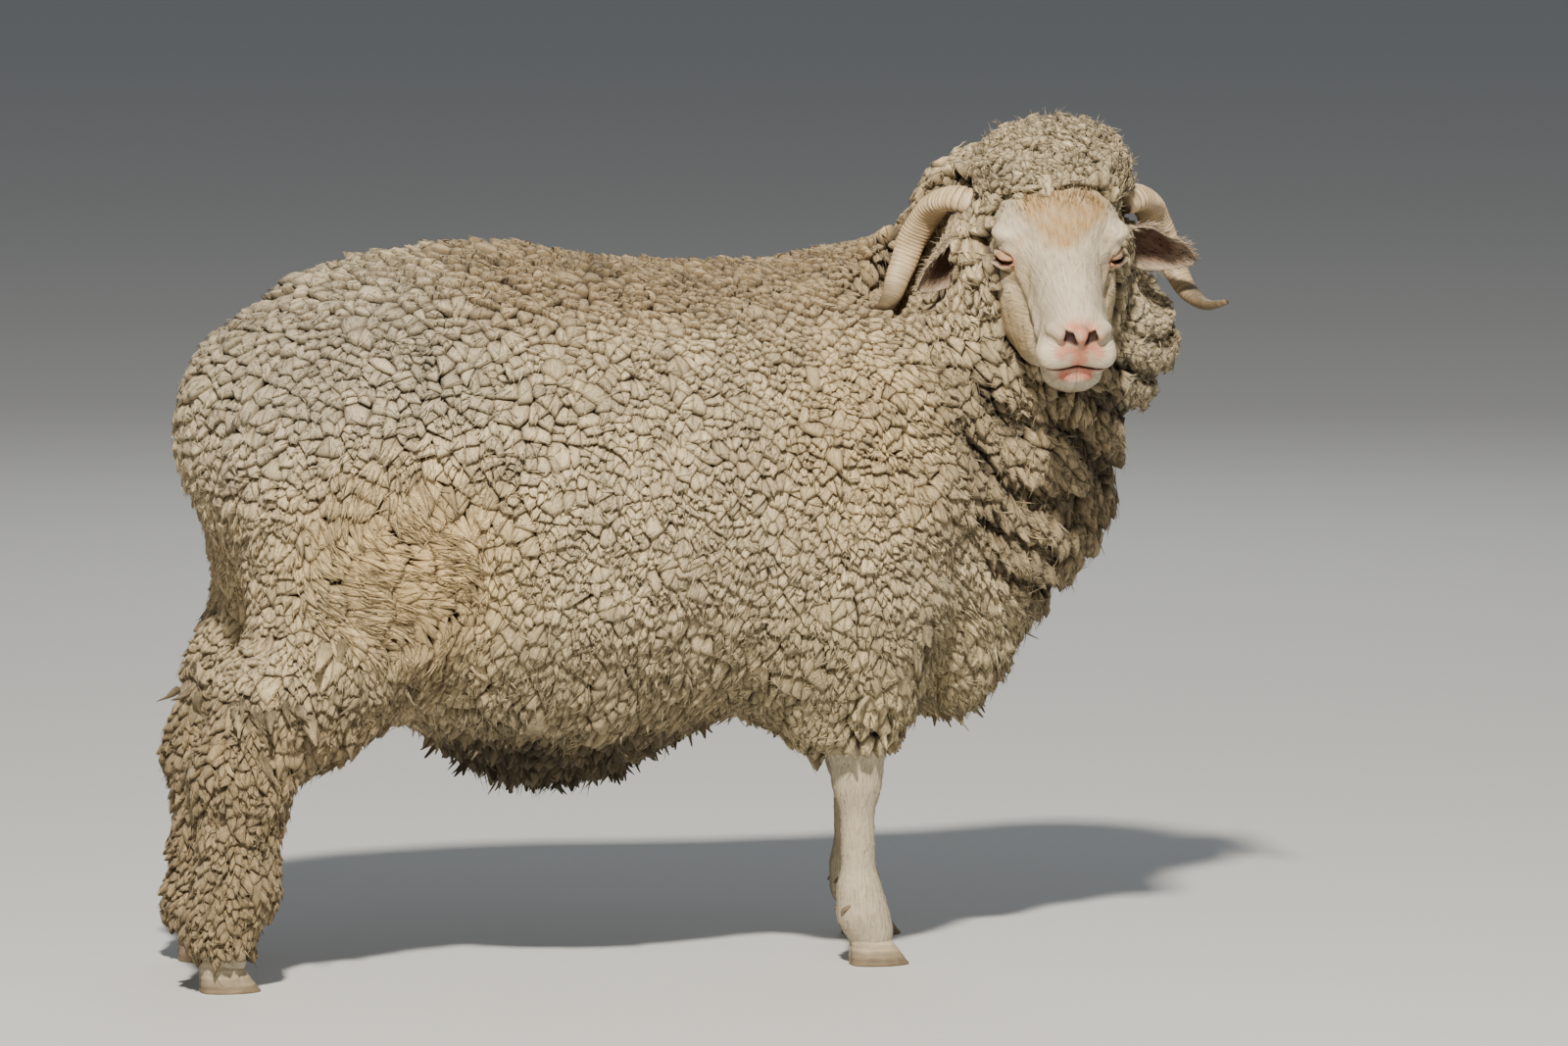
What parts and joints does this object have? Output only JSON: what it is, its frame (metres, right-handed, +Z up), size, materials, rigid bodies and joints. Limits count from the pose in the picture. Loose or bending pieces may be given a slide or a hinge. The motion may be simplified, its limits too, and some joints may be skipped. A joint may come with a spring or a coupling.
{
  "type": "sheep",
  "caption": "Standing adult ram in full curly fleece, head turned to its right, with short curled horns; a still life-size museum model.",
  "frame": {"origin": "middle of the bounding box, on the ground the feet stand on", "axes": "+X towards the chest, +Y towards the animal's left flank, +Z up; the head faces -Y"},
  "size_m": [1.126, 0.5568, 0.9025],
  "materials": {
    "fleece": "matte curly wool",
    "face": "short flat hair",
    "short_hair": "short flat hair",
    "ear": "soft hair",
    "horn": "satin ridged horn",
    "claw": "satin hoof horn",
    "eye": "polished"
  },
  "bodies": {
    "root": {"claw_fore_left_inner": "claw", "claw_fore_left_outer": "claw", "claw_fore_right_inner": "claw", "claw_fore_right_outer": "claw", "claw_hind_left_inner": "claw", "claw_hind_left_outer": "claw", "claw_hind_right_inner": "claw", "claw_hind_right_outer": "claw", "dewclaw_fore_left_inner": "claw", "dewclaw_fore_left_outer": "claw", "dewclaw_fore_right_inner": "claw", "dewclaw_fore_right_outer": "claw", "dewclaw_hind_left_inner": "claw", "dewclaw_hind_left_outer": "claw", "dewclaw_hind_right_inner": "claw", "dewclaw_hind_right_outer": "claw", "ear_left": "ear", "ear_right": "ear", "eye_left": "eye", "eye_right": "eye", "foreleg_left_lower": "short_hair", "foreleg_left_upper": "fleece", "foreleg_right_lower": "short_hair", "foreleg_right_upper": "fleece", "head": "face", "hindleg_left_lower": "fleece", "hindleg_left_upper": "fleece", "hindleg_right_lower": "fleece", "hindleg_right_upper": "fleece", "horn_left": "horn", "horn_right": "horn", "neck": "fleece", "tail": "fleece", "trunk": "fleece"}
  },
  "joints": []
}
